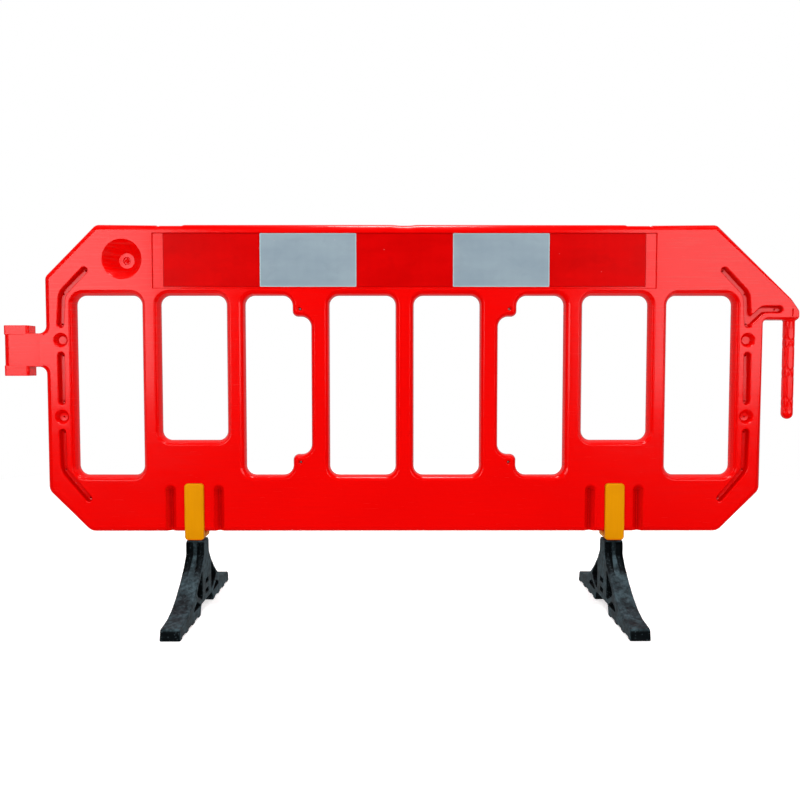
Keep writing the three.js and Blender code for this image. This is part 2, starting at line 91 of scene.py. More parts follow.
# The upper right groove forks into the arm: its outline as corners (x, z, radius), anticlockwise.
FORKED_GROOVE = [
    (875, 736, 8.9), (893, 736, 5.5), (893, 743, 1), (925.6, 774, 14), (973, 774, 8.9), (973, 792, 8.9),
    (918.5, 792, 24), (891.5, 766.5, 3), (888, 825, 45), (821.2, 894.8, 8.9), (808.2, 882.2, 8.9),
    (870, 819, 45),
]
ARM_PIT = (957, 783, 2.6)
GROOVE_HALF, GROOVE_BEND = 9, 40
DIMPLES, DIMPLE_RADIUS = (704, 506), 18.6
LAMP_RIM, LAMP_SEAT, LAMP_HOLE, LAMP_DEPTH = 51.8, 19.7, 9.9, 39
# Raised outlines of blank label fields: (x0, z0, x1, z1, corner radius).
LABEL_FIELDS = [(-744, 237, -649, 335, 6), (649, 249, 800, 332, 6), (-240, 266, 250, 303, 8)]
FOOT_X, FLUTE_OFFSET, FLUTE_HALF, FLUTE_DEPTH, FLUTE_TOP = 545, 62.5, 16, 14, 331
FLUTE_CORE, FLUTE_TROUGH = 12, 3.5
FLUTE_CENTRES = [side * FOOT_X + hand * FLUTE_OFFSET for side in (-1, 1) for hand in (-1, 1)]
SLOT_HALF, SLOT_BOTTOM, SLOT_TOP, SLOT_RADIUS = 25.3, 224, 333.9, 9.3
SADDLE_HALF, SADDLE_OUT, SADDLE_BOTTOM, SADDLE_TOP = 25, 31, 185.6, 333.4
FOOT_HALF_WIDTH, FOOT_TOP, FOOT_REACH = 24, 183.3, 250

# Edge profiles: (share of the bevel's width, depth below the face in mm), from face to mid-thickness.
OUTER_EDGE = [(0, 0), (.033, .12), (.087, .5), (.267, 1.6), (.467, 3), (.633, 4.5), (.767, 6.3),
              (.867, 8.5), (.94, 11.3), (.987, 14.8), (1, 18), (1, 22.3), (1.02, 23)]
SOFT_EDGE = [(0, 0), (.05, .12), (.13, .5), (.3, 1.7), (.55, 4), (.72, 6.3), (.84, 9.3), (.93, 13.5),
             (1, 18), (1, 22.3), (1.02, 23)]
STEPPED_EDGE = [(0, 0), (.06, .1), (.13, .35), (.2, .85), (.28, 1.9), (.38, 4.3), (.43, 4.95), (.48, 5.2),
                (.54, 5.4), (.59, 5.9), (.65, 7.6), (.9, 14.6), (1, 18), (1, 22.3), (1.02, 23)]
# Walls of hollows: (distance in from the outline, depth). A negative distance lies outside the outline.
GROOVE_WALL = [(-2.2, 0), (-1.5, .15), (-.7, .6), (0, 1.4), (.6, 2.7), (1, 4.4), (2.6, 12.5),
               (3.2, 14.3), (4.2, 15)]
DIMPLE_WALL = [(-.8, 0), (-.3, .15), (.4, .7), (1.2, 1.7), (2, 3), (7.4, 11.6), (8.1, 12.6), (8.8, 13)]
SLOT_WALL = [(0, 0), (.2, .5), (.2, 4)]
STRIP_WALL = [(0, 0), (.3, .2), (.8, 3.4), (1.8, 3.6), (2.6, STRIP_DEPTH)]
SEAM_WALL = [(0, 0), (.5, .4), (1.4, 3), (1.9, 3.4)]
LUG_HOLE_WALL = [(0, 0), (.5, .2), (1.2, .8), (3.6, 4.5), (4.1, 5.2), (4.2, FACE)]
LABEL_LINE = [(0, 0), (.5, -.6), (1.1, -1.1), (2, -1.1), (2.6, -.6), (3.1, 0)]
LOOP_EDGE = [(1.3, 0), (.8, .12), (.35, .4), (.1, .8), (0, 1.4)]  # rounding of a socket loop's ends


# ---- outlines --------------------
def turned(arm, angle):
    """An arm (x, z) turned anticlockwise."""
    c, s = math.cos(angle), math.sin(angle)
    return np.array((arm[0] * c - arm[1] * s, arm[0] * s + arm[1] * c))


def rounded(corners, closed=True, degrees=7.5):
    """Points of a line whose corners (x, z, radius) are replaced by arcs with a point every few degrees."""
    corners = [(*c, 0)[:3] for c in corners]
    points = []
    for i, (x, z, radius) in enumerate(corners):
        here = np.array((x, z), float)
        inside = closed or 0 < i < len(corners) - 1
        if not radius or not inside:
            points.append(here)
            continue
        before = np.array(corners[i - 1][:2], float) - here
        after = np.array(corners[(i + 1) % len(corners)][:2], float) - here
        before /= np.linalg.norm(before)
        after /= np.linalg.norm(after)
        half = math.acos(np.clip(before @ after, -1, 1)) / 2
        middle = before + after
        centre = here + middle / np.linalg.norm(middle) * radius / math.sin(half)
        first = here + before * radius / math.tan(half) - centre
        last = here + after * radius / math.tan(half) - centre
        sweep = math.atan2(first[0] * last[1] - first[1] * last[0], first @ last)
        count = max(2, math.ceil(abs(math.degrees(sweep)) / degrees))
        points += [centre + turned(first, sweep * step / count) for step in range(count + 1)]
    return np.array(points)


def box_corners(x0, z0, x1, z1, radius=0):
    return [(x0, z0, radius), (x1, z0, radius), (x1, z1, radius), (x0, z1, radius)]


def circle(x, z, radius, count=40):
    turn = np.arange(count) * 2 * math.pi / count
    return np.stack([x + radius * np.cos(turn), z + radius * np.sin(turn)], 1)


def sideways(loop, closed=True):
    """Vectors to the left of travel that shift every side of a line by one."""
    before = loop - np.roll(loop, 1, axis=0)
    after = np.roll(loop, -1, axis=0) - loop
    if not closed:
        before[0], after[-1] = after[0], before[-1]
    before /= np.linalg.norm(before, axis=1)[:, None]
    after /= np.linalg.norm(after, axis=1)[:, None]
    both = before + after
    left = np.stack([-both[:, 1], both[:, 0]], 1)
    return left / (1 + (before * after).sum(1))[:, None]


def shifted(loop, amount):
    """The loop moved to the left of travel: into an outline that runs anticlockwise."""
    return loop + sideways(loop) * np.reshape(amount, (-1, 1) if np.ndim(amount) else (1, 1))


def band(path, half, caps=12):
    """Anticlockwise outline of a band of even width along a line, with round ends."""
    line = rounded(path, closed=False)
    side = sideways(line, closed=False) * half
    bends = [math.pi * step / caps for step in range(1, caps)]
    last_cap = [line[-1] + turned(-side[-1], bend) for bend in bends]
    first_cap = [line[0] + turned(side[0], bend) for bend in bends]
    return np.array([*(line - side), *last_cap, *(line + side)[::-1], *first_cap])


def smoothstep(value, low, high):
    t = np.clip((np.asarray(value, float) - low) / (high - low), 0, 1)
    return t * t * (3 - 2 * t)


# ---- meshes from outlines --------------------
class Skin:
    """Points (u, v) at a height w, joined into strips between rings and flat fills inside them."""

    def __init__(self):
        self.points, self.faces, self.looks = [], [], []

    def ring(self, loop, height):
        start = len(self.points)
        self.points += [(u, v, height) for u, v in loop]
        return list(range(start, len(self.points)))

    def strip(self, a, b, look=0):
        n = len(a)
        for i in range(n):
            j = (i + 1) % n
            self.faces.append((a[i], a[j], b[j], b[i]))
            self.looks.append(look)

    def rings(self, loop, profile, look=0):
        """A stack of rings, one for each (shift, height) of the profile. Returns the first and last."""
        made = [self.ring(shifted(loop, shift), height) for shift, height in profile]
        for a, b in zip(made, made[1:]):
            self.strip(a, b, look)
        return made[0], made[-1]

    def fill(self, rings, extra=(), look=0):
        """Fills what lies inside an odd number of the rings. extra are free points inside it."""
        known = [i for r in rings for i in r]
        height = float(np.mean([self.points[i][2] for i in rings[0]]))
        flat = [Vector(self.points[i][:2]) for i in known] + [Vector(p) for p in extra]
        edges, start = [], 0
        for r in rings:
            n = len(r)
            edges += [(start + i, start + (i + 1) % n) for i in range(n)]
            start += n
        same_point = 1e-4
        verts, _, faces, sources, _, _ = delaunay_2d_cdt(flat, edges, [], 0, same_point, True)
        index = []
        for v, source in zip(verts, sources):
            old = [s for s in source if s < len(known)]
            if old:
                index.append(known[old[0]])
            else:
                self.points.append((v.x, v.y, height))
                index.append(len(self.points) - 1)
        middle = np.array([np.mean([verts[i] for i in f], axis=0) for f in faces])
        inside = np.zeros(len(faces), bool)
        start = 0
        for r in rings:
            corner = np.array([flat[start + i] for i in range(len(r))])
            start += len(r)
            near = np.nonzero(((middle > corner.min(0)) & (middle < corner.max(0))).all(1))[0]
            x, z = middle[near, 0][:, None], middle[near, 1][:, None]
            (x0, z0), (x1, z1) = corner.T, np.roll(corner, -1, axis=0).T
            rise = np.where(z1 == z0, 1e-9, z1 - z0)
            crosses = ((z0 > z) != (z1 > z)) & (x < (x1 - x0) * (z - z0) / rise + x0)
            inside[near] ^= crosses.sum(1) % 2 == 1
        for f, keep in zip(faces, inside):
            if keep:
                self.faces.append(tuple(index[i] for i in f))
                self.looks.append(look)

    def well(self, loop, profile, pits=()):
        """A closed hollow: rings down from the face and a floor. Returns the ring on the face."""
        top, floor = self.rings(loop, profile)
        depth = profile[-1][1]
        holes = [self.rings(circle(x, z, r, 14), [(0, depth), (.25, depth + .4), (.4, depth + 5)])
                 for x, z, r in pits]
        self.fill([floor] + [h[0] for h in holes])
        for h in holes:
            self.fill([h[1]])
        return top


def facing_front(u, v, w):
    return u, w, v


def facing_up(u, v, w):
    return u, v, w


def mesh_object(name, parts, looks, body, slot, nodes=()):
    """One smooth-shaded object from (skin, placing) pairs, riding on a body. It stands in for the CAD
    nodes named."""
    points, faces, marks = [], [], []
    for skin, place in parts:
        start = len(points)
        points += [tuple(c * MM for c in place(*p)) for p in skin.points]
        faces += [tuple(i + start for i in f) for f in skin.faces]
        marks += skin.looks
    mesh = bpy.data.meshes.new(name)
    mesh.from_pydata(points, [], faces)
    for look in looks:
        mesh.materials.append(look)
    mesh.polygons.foreach_set("material_index", marks)
    bm = bmesh.new()
    bm.from_mesh(mesh)
    bmesh.ops.remove_doubles(bm, verts=bm.verts, dist=2e-6)
    bmesh.ops.dissolve_degenerate(bm, edges=bm.edges, dist=1e-6)
    bmesh.ops.recalc_face_normals(bm, faces=bm.faces)
    bm.to_mesh(mesh)
    bm.free()
    mesh.shade_smooth()
    made = bpy.data.objects.new(name, mesh)
    bpy.context.scene.collection.objects.link(made)
    made.modifiers.new("Even shading", "WEIGHTED_NORMAL").keep_sharp = True
    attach(made, body)
    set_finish(made, slot)
    if nodes:
        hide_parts(*nodes)
    return made


def cut_round(made, bores):
    """Cuts upright round bores (x, y, z0, z1, radius) in millimetres out of a finished mesh."""
    for x, y, z0, z1, radius in bores:
        skin = Skin()
        low, high = skin.rings(circle(x, y, radius, 48), [(0, z0), (0, z1)])
        skin.fill([low])
        skin.fill([high])
        tool = mesh_object("bore", [(skin, facing_up)], [made.data.materials[0]], "barrier", made["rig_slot"])
        tool.modifiers.clear()
        step = made.modifiers.new("Bore", "BOOLEAN")
        step.operation, step.solver, step.object = "DIFFERENCE", "EXACT", tool
        made.modifiers.move(len(made.modifiers) - 1, 0)
        bpy.context.view_layer.update()
        shown = made.evaluated_get(bpy.context.evaluated_depsgraph_get())
        with_bore = bpy.data.meshes.new_from_object(shown)
        made.modifiers.clear()
        made.data = with_bore
        bpy.data.objects.remove(tool)
        made.modifiers.new("Even shading", "WEIGHTED_NORMAL").keep_sharp = True


# ---- materials --------------------
FLOOR_GLOW = 0.55  # light of its own that the white floor gives off
CAVITY_REACH = 0.028  # how far, in metres, a wall casts painted shade on the red plastic facing it
POCKET_REACH = 0.03  # how far, in metres, a wall casts painted shade on the rubber facing it

# The Mix node has one set of sockets for each kind of data.
MIX_FACTOR, MIX_FLOAT_A, MIX_FLOAT_B, MIX_COLOUR_A, MIX_COLOUR_B = 0, 2, 3, 6, 7
MIX_FLOAT_RESULT, MIX_COLOUR_RESULT = 0, 2


def shaded(colour, share):
    return tuple(c * share for c in colour)


class Look:
    """A node material built up by small calls. Coordinates are the row frame, in metres."""

    def __init__(self, name, metallic=0.0, specular=0.5):
        self.material = bpy.data.materials.new(name)
        self.material.use_nodes = True
        self.tree = self.material.node_tree
        self.shader = self.tree.nodes["Principled BSDF"]
        self.shader.inputs["Metallic"].default_value = metallic
        self.shader.inputs["Specular IOR Level"].default_value = specular
        self.where = self.tree.nodes.new("ShaderNodeTexCoord").outputs["Object"]

    def node(self, kind, **values):
        made = self.tree.nodes.new("ShaderNode" + kind)
        for key, value in values.items():
            setattr(made, key, value)
        return made

    def link(self, source, target):
        self.tree.links.new(source, target)

    def stretched(self, scale):
        made = self.node("Mapping")
        made.inputs["Scale"].default_value = scale
        self.link(self.where, made.inputs["Vector"])
        return made.outputs["Vector"]

    def noise(self, scale, detail=3.0, roughness=0.55, distortion=0.0):
        made = self.node("TexNoise")
        made.inputs["Scale"].default_value = 1.0
        made.inputs["Detail"].default_value = detail
        made.inputs["Roughness"].default_value = roughness
        made.inputs["Distortion"].default_value = distortion
        self.link(self.stretched(scale), made.inputs["Vector"])
        return made.outputs["Fac"]

    def cells(self, scale, feature="F1", output="Distance", randomness=1.0):
        made = self.node("TexVoronoi", feature=feature)
        made.inputs["Scale"].default_value = 1.0
        made.inputs["Randomness"].default_value = randomness
        self.link(self.stretched(scale), made.inputs["Vector"])
        return made.outputs[output]

    def spread(self, value, low, high, to_low=0.0, to_high=1.0):
        made = self.node("MapRange", interpolation_type="SMOOTHSTEP")
        for key, number in (("From Min", low), ("From Max", high), ("To Min", to_low), ("To Max", to_high)):
            made.inputs[key].default_value = number
        self.link(value, made.inputs["Value"])
        return made.outputs["Result"]

    def maths(self, operation, a, b):
        made = self.node("Math", operation=operation)
        for socket, value in zip(made.inputs, (a, b)):
            if isinstance(value, (int, float)):
                socket.default_value = value
            else:
                self.link(value, socket)
        return made.outputs[0]

    def part_of(self, axis):
        made = self.node("SeparateXYZ")
        self.link(self.where, made.inputs[0])
        return made.outputs[axis]

    def blended(self, factor, a, b):
        made = self.node("Mix", data_type="RGBA")
        self.link(factor, made.inputs[MIX_FACTOR])
        for socket, value in ((made.inputs[MIX_COLOUR_A], a), (made.inputs[MIX_COLOUR_B], b)):
            if isinstance(value, tuple):
                socket.default_value = (*value, 1)
            else:
                self.link(value, socket)
        return made.outputs[MIX_COLOUR_RESULT]

    def open_air(self, reach, samples):
        """How open the surface lies: 1 on a flat face, less the deeper it lies in a hollow."""
        made = self.node("AmbientOcclusion", samples=samples, only_local=True)
        made.inputs["Distance"].default_value = reach
        return made.outputs["AO"]

    def finish(self, colour, roughness, bumps):
        """bumps are (height, distance in metres, strength)."""
        self.link(colour, self.shader.inputs["Base Color"])
        self.link(roughness, self.shader.inputs["Roughness"])
        normal = None
        for height, distance, strength in bumps:
            made = self.node("Bump")
            made.inputs["Distance"].default_value = distance
            made.inputs["Strength"].default_value = strength
            self.link(height, made.inputs["Height"])
            if normal:
                self.link(normal, made.inputs["Normal"])
            normal = made.outputs["Normal"]
        self.link(normal, self.shader.inputs["Normal"])
        return self.material


def red_plastic():
    """Blow-moulded polyethylene: glossy, with faint level streaks drawn out along the panel. Towards the
    upper ends the streaks carry a painted pink sheen of reflected light, and painted shade deepens the colour
    in grooves and most of all in the flutes."""
    look = Look("Red polyethylene", specular=0.5)
    streaks = look.noise((9, 9, 190), 4.0, 0.62)
    waves = look.noise((4, 4, 22), 2.0)
    grain = look.noise((700, 700, 700), 2.0)
    cloud = look.noise((4, 4, 5), 2.0)
    scratch = look.spread(look.noise((26, 26, 900), 2.0, 0.5, 0.4), 0.70, 0.76)
    colour = look.blended(look.spread(cloud, 0.3, 0.7), (0.83, 0.0006, 0.0003), (0.87, 0.0009, 0.0004))
    colour = look.blended(look.spread(streaks, 0.35, 0.75, 0, 0.5), colour, (0.80, 0.0005, 0.0003))
    from_middle = look.maths("ABSOLUTE", look.part_of("X"), 0)
    height = look.part_of("Z")
    # Painted sheen: pale pink streaks towards the upper ends, where reflected light shows on the face.
    painted_sheen_streaks = look.maths("MULTIPLY", look.spread(streaks, 0.48, 0.66), look.spread(from_middle, 0.45, 0.75))
    painted_sheen_streaks = look.maths("MULTIPLY", painted_sheen_streaks, look.spread(height, 0.45, 0.85))
    colour = look.blended(painted_sheen_streaks, colour, (0.82, 0.016, 0.014))
    # Painted shade: the colour darkens where the surface lies enclosed, in the grooves and most of all in the
    # flutes of the lower rail.
    open_air = look.open_air(CAVITY_REACH, 8)
    lower_rail = look.maths("MULTIPLY", look.spread(height, 0.37, 0.34), look.spread(from_middle, 0.75, 0.70))
    hollow = look.maths("MULTIPLY", look.spread(open_air, 0.97, 0.45), lower_rail)
    hollow = look.maths("MAXIMUM", hollow, look.spread(open_air, 0.8, 0.35, 0, 0.42))
    colour = look.blended(hollow, colour, (0.30, 0.0003, 0.0002))
    rough = look.maths("ADD", look.spread(streaks, 0.3, 0.7, 0.15, 0.24),
                       look.maths("MULTIPLY", scratch, 0.15))
    bumps = [(waves, 0.0010, 0.22), (streaks, 0.0004, 0.2), (grain, 0.00005, 0.12)]
    return look.finish(colour, rough, bumps)


def film(name, dark, light, specular):
    """Prismatic retro-reflective film: fine cells under a clear skin, with pale scuffs and specks."""
    look = Look(name, specular=specular)
    cell = look.cells((420, 420, 420), "DISTANCE_TO_EDGE", "Distance", 0.15)
    wide = look.cells((38, 38, 38), "F1", "Distance", 0.0)
    cloud = look.noise((5, 5, 12), 3.0)
    blotch = look.noise((22, 22, 30), 4.0, 0.65, 0.5)
    scuff = look.spread(look.noise((60, 60, 420), 3.0, 0.6, 0.8), 0.70, 0.80)
    speck = look.spread(look.cells((26, 26, 26)), 0.035, 0.015)
    lines = look.spread(cell, 0.02, 0.12)
    colour = look.blended(look.spread(cloud, 0.3, 0.7), dark, light)
    colour = look.blended(look.spread(lines, 0, 1, 0.16, 0), colour, shaded(light, 1.2))
    colour = look.blended(look.spread(wide, 0.2, 0.7, 0, 0.08), colour, shaded(dark, 0.8))
    colour = look.blended(look.spread(blotch, 0.45, 0.75, 0, 0.3), colour, shaded(dark, 0.86))
    colour = look.blended(look.maths("MULTIPLY", scuff, 0.03), colour, (0.8, 0.6, 0.6))
    colour = look.blended(look.maths("MULTIPLY", speck, 0.25), colour, (0.85, 0.6, 0.6))
    rough = look.spread(cloud, 0.3, 0.7, 0.28, 0.4)
    return look.finish(colour, rough, [(cell, 0.0002, 0.1), (blotch, 0.0004, 0.1)])


def film_border(name, colour, specular):
    """The welded rim round a tile, where the film lies flat on its backing."""
    look = Look(name, specular=specular)
    cloud = look.noise((40, 40, 40), 2.0)
    shade = look.blended(look.spread(cloud, 0.3, 0.7), colour, shaded(colour, 0.92))
    return look.finish(shade, look.spread(cloud, 0.3, 0.7, 0.3, 0.4), [(cloud, 0.0001, 0.2)])


def yellow_nylon():
    """Moulded nylon with upright flow marks, and a painted orange band of shade and red bounce light along
    its lower edge.
    """
    look = Look("Yellow nylon", specular=0.12)
    flow = look.noise((260, 260, 9), 3.0)
    cloud = look.noise((12, 12, 12), 2.0)
    # Painted shade and red bounce light: a deeper orange band along the lower edge.
    low = look.spread(look.part_of("Z"), 0.186, 0.192, 1, 0)
    colour = look.blended(look.spread(cloud, 0.3, 0.7), (0.70, 0.262, 0.0006), (0.75, 0.288, 0.0008))
    colour = look.blended(look.spread(flow, 0.35, 0.7, 0, 0.35), colour, (0.67, 0.242, 0.0006))
    colour = look.blended(look.maths("MULTIPLY", low, 0.75), colour, (0.84, 0.085, 0.0008))
    grain = look.noise((900, 900, 900), 2.0)
    rough = look.spread(flow, 0.3, 0.7, 0.34, 0.48)
    return look.finish(colour, rough, [(flow, 0.0002, 0.3), (grain, 0.00008, 0.3)])


def recycled_rubber():
    """Moulded rubber: black in its pockets, kept so by painted shade, and on its toes' ends; greyed on its
    sloping tops and its sides by painted light as well as dust, and a little on the head's front and back."""
    look = Look("Recycled rubber", specular=0.1)
    facing = look.node("SeparateXYZ")
    look.link(look.tree.nodes.new("ShaderNodeTexCoord").outputs["Normal"], facing.inputs[0])
    # Dust and painted light: lighter on the sloping tops, where dust lies and light falls from above, and on
    # the sides, where the side light falls.
    up = look.spread(facing.outputs["Z"], 0.1, 0.75)
    side = look.spread(look.maths("ABSOLUTE", facing.outputs["X"], 0), 0.5, 0.9)
    cloud = look.noise((24, 24, 24), 4.0, 0.6, 0.6)
    mottle = look.noise((90, 90, 90), 3.0, 0.6)
    crumbs = look.cells((330, 330, 330), "F1", "Color")
    crumb_tone = look.node("SeparateColor")
    look.link(crumbs, crumb_tone.inputs[0])
    fine = look.noise((500, 500, 500), 3.0, 0.7)
    front = look.spread(look.maths("ABSOLUTE", facing.outputs["Y"], 0), 0.6, 0.95, 0, 0.4)
    front = look.maths("MULTIPLY", front, look.spread(look.part_of("Z"), 0.05, 0.10))
    dust_and_painted_light = look.maths("MAXIMUM", look.maths("MAXIMUM", up, side), front)
    dust_and_painted_light = look.maths("MULTIPLY", dust_and_painted_light, look.spread(cloud, 0.30, 0.68, 0.25, 1.0))
    dust_and_painted_light = look.maths("MULTIPLY", dust_and_painted_light, look.spread(mottle, 0.34, 0.64, 0.4, 1.15))
    # Painted shade: the pockets and channels stay black by how enclosed they lie.
    dust_and_painted_light = look.maths("MULTIPLY", dust_and_painted_light, look.spread(look.open_air(POCKET_REACH, 12), 0.72, 0.97))
    colour = look.blended(look.spread(cloud, 0.3, 0.7), (0.0012, 0.0022, 0.0028), (0.0035, 0.0052, 0.0062))
    colour = look.blended(dust_and_painted_light, colour, (0.056, 0.090, 0.105))
    pale_crumbs = look.spread(crumb_tone.outputs["Red"], 0.86, 0.97, 0, 0.3)
    colour = look.blended(pale_crumbs, colour, (0.085, 0.115, 0.13))
    rough = look.spread(cloud, 0.3, 0.7, 0.5, 0.68)
    bumps = [(cloud, 0.0016, 0.25), (crumb_tone.outputs["Green"], 0.0003, 0.2), (fine, 0.0004, 0.3)]
    return look.finish(colour, rough, bumps)


def zinc_steel():
    look = Look("Zinc plated steel", metallic=1.0)
    cloud = look.noise((60, 60, 60), 4.0, 0.6)
    spangle = look.cells((240, 240, 240), "F1", "Distance")
    colour = look.blended(look.spread(cloud, 0.3, 0.7), (0.42, 0.42, 0.43), (0.62, 0.61, 0.57))
    return look.finish(colour, look.spread(cloud, 0.3, 0.7, 0.26, 0.45), [(spangle, 0.0002, 0.2)])


def black_nylon():
    look = Look("Black nylon", specular=0.4)
    cloud = look.noise((90, 90, 90), 3.0)
    grain = look.noise((900, 900, 900), 2.0)
    colour = look.blended(look.spread(cloud, 0.3, 0.7), (0.009, 0.009, 0.010), (0.017, 0.017, 0.018))
    return look.finish(colour, look.spread(cloud, 0.3, 0.7, 0.4, 0.55), [(grain, 0.0001, 0.3)])


def studio_floor():
    """White paper that only shows the object's soft shadow and melts into the white surroundings."""
    look = Look("Pale floor", specular=0.0)
    cloud = look.noise((1.5, 1.5, 1.5), 3.0)
    away = look.node("VectorMath", operation="LENGTH")
    look.link(look.where, away.inputs[0])
    fade = look.spread(away.outputs["Value"], 1.6, 3.2)
    colour = look.blended(look.spread(cloud, 0.3, 0.7), (0.86, 0.86, 0.86), (0.88, 0.88, 0.88))
    look.link(look.blended(fade, colour, (0, 0, 0)), look.shader.inputs["Base Color"])
    look.shader.inputs["Roughness"].default_value = 0.8
    look.shader.inputs["Emission Color"].default_value = (1, 1, 1, 1)
    look.link(look.spread(fade, 0, 1, FLOOR_GLOW, 1.0), look.shader.inputs["Emission Strength"])
    look.material.cycles.emission_sampling = "NONE"
    return look.material


# ---- panel --------------------
def window_centre(i):
    return (i - (WINDOW_COUNT - 1) / 2) * WINDOW_PITCH


def towards_middle(i):
    """1 if the panel's middle lies to the right of a window, else -1."""
    return 1 if window_centre(i) < 0 else -1


def window_rim(i):
    """A window's outline at mid-thickness, with two lugs on the side nearest the panel's middle."""
    half, low, high = WINDOW_WIDTH / 2, WINDOW_BOTTOM[i], WINDOW_TOP
    inward = towards_middle(i)
    corners = box_corners(-half, low, half, high, WINDOW_RADIUS)
    if i in LUG_WINDOWS:
        step = half - LUG_WIDTH
        shelf, ceiling = low + LUG_HEIGHT, high - LUG_HEIGHT
        corners = [
            corners[0],
            (step, low, LUG_FILLET), (step, shelf, LUG_CORNER), (half, shelf, LUG_FILLET),
            (half, ceiling, LUG_FILLET), (step, ceiling, LUG_CORNER), (step, high, LUG_FILLET),
            corners[3],
        ]
    loop = rounded([(window_centre(i) + inward * x, z, r) for x, z, r in corners])
    return loop if inward > 0 else loop[::-1]


def window_bevel(i, loop):
    """Width of the bevel at each point of a window: narrower beside the three middle bars."""
    wide, narrow, sill = 13.5, 10.5, 13
    into = sideways(loop)
    into /= np.linalg.norm(into, axis=1)[:, None]
    left = narrow if i in (3, 4, 5) else wide
    right = narrow if i in (2, 3, 4) else wide
    across = np.where(into[:, 0] > 0, left, right)
    upright = np.where(into[:, 1] > 0, sill, wide)
    width = into[:, 0] ** 2 * across + into[:, 1] ** 2 * upright
    if i in LUG_WINDOWS:
        near_lug = smoothstep(towards_middle(i) * (loop[:, 0] - window_centre(i)), -30, 20)
        width = width + (narrow - width) * near_lug
    return width


def outer_rim():
    """The panel's outline at mid-thickness, anticlockwise, with the arm, its nose and the neck."""
    across_flute = np.linspace(-FLUTE_HALF, FLUTE_HALF, 15)
    bottom = [(x + d, PANEL_BOTTOM, 0) for x in FLUTE_CENTRES for d in across_flute]
    low, high = PANEL_BOTTOM + CORNER_BOTTOM, PANEL_TOP - CORNER_TOP
    # Points where edge_relief bends the top edge: at the rail's end, the notches and the scallop.
    top = [(x, PANEL_TOP, 0) for x in (640, 638, 636.5, 634.5, 632.5, 631, 629, 600, 574, 571, 568, 565)]
    top += [(x, PANEL_TOP, 0) for x in np.arange(36, 0, -4)]
    top += [(-x, z, r) for x, z, r in top[::-1]]
    return rounded([
        (-PANEL_X + CORNER_BOTTOM, PANEL_BOTTOM, 30), *bottom, (PANEL_X - CORNER_BOTTOM, PANEL_BOTTOM, 30),
        (PANEL_X, low, 30), (PANEL_X, ARM_Z, 10), (NOSE_X, ARM_Z, 9.5),
        (NOSE_X, ARM_Z + 24, 20), (NOSE_X - 22, ARM_Z + 55, 45), (PANEL_X - CORNER_TOP + 10, PANEL_TOP, 20),
        *top, (-PANEL_X + CORNER_TOP, PANEL_TOP, 20), (-PANEL_X, high, 20),
        (-PANEL_X, NECK_TOP, NECK_FILLET), (NECK_X, NECK_TOP, 4), (NECK_X, NECK_BOTTOM, 4),
        (-PANEL_X, NECK_BOTTOM, NECK_FILLET), (-PANEL_X, low, 30),
    ])


def outer_bevel(loop):
    """Width of the bevel along the outline: less along the bottom, on the arm and round its nose, and
    least along the neck."""
    x, z = loop.T
    full, less_below, less_on_arm, less_on_neck = 15, 2.5, 8, 12
    width = full - less_below * smoothstep(-z, -PANEL_BOTTOM - CORNER_BOTTOM, -PANEL_BOTTOM)
    width -= less_on_arm * smoothstep(x, 940, 985)
    width -= less_on_neck * smoothstep(-x, PANEL_X, PANEL_X + NECK_FILLET)
    under_arm = full - less_on_arm * smoothstep(z, ARM_Z - 66, ARM_Z - 16)
    beside_arm = (x > PANEL_X - 26) & (z < ARM_Z + 10)
    return np.where(beside_arm, np.minimum(width, under_arm), width)


def edge_relief(x, z):
    """How far the rim is drawn in: a proud middle rail, two notches and a scallop in the top edge,
    and a shallow mark in the bottom edge under each flute."""
    reach = np.abs(x)
    beyond_rail = smoothstep(reach, 566, 573)
    top = -1.4 * beyond_rail - 0.9 * beyond_rail * (1 - smoothstep(reach, 634, 639))
    top -= 1.8 * smoothstep(reach, 629, 632) * (1 - smoothstep(reach, 635, 638))
    top -= 1.8 * (1 - smoothstep(reach, 8, 34))
    bottom = sum(1.8 * (1 - smoothstep(np.abs(x - centre), 0, 14)) for centre in FLUTE_CENTRES)
    on_top = (z > PANEL_TOP - 40) & (reach < 780)
    return np.where(on_top, top, 0) + np.where(z < PANEL_BOTTOM + 40, bottom, 0)


def flute_depth(x, z):
    """Depth of the four flutes beside the saddles: a shallow trough with a V-shaped core."""
    depth = np.zeros_like(x)
    above = np.clip(z - FLUTE_TOP + FLUTE_HALF, 0, None)
    for centre in FLUTE_CENTRES:
        away = np.hypot(x - centre, above)
        trough = FLUTE_TROUGH * (1 - smoothstep(away, FLUTE_CORE - 2, FLUTE_HALF))
        depth += trough + (FLUTE_DEPTH - FLUTE_TROUGH) * (1 - away / FLUTE_CORE).clip(0)
    return depth


def flute_points():
    """Free points that let the flat face bend into the flutes, closer together round their upper ends."""
    across = np.linspace(-FLUTE_HALF, FLUTE_HALF, 25)
    heights = (*range(221, 310, 8), *range(311, 334, 2))
    return [(x, z) for centre in FLUTE_CENTRES for x in centre + across for z in heights]


def groove_loops(side):
    """Grooves of one end post as (outline, pits in the floor). The upper right one forks into the arm."""
    found = []
    for k, path in enumerate(GROOVES):
        pits = [(side * x, z, 2.6) for x, z in (path[0], path[-1])]
        if len(path) > 2:
            pits.append((side * path[1][0], path[1][1], 2.4))
        if side > 0 and k == 0:
            found.append((rounded(FORKED_GROOVE), [*pits, ARM_PIT]))
            continue
        line = [(side * x, z, GROOVE_BEND) for x, z in path]
        found.append((band(line, GROOVE_HALF), pits))
    return found


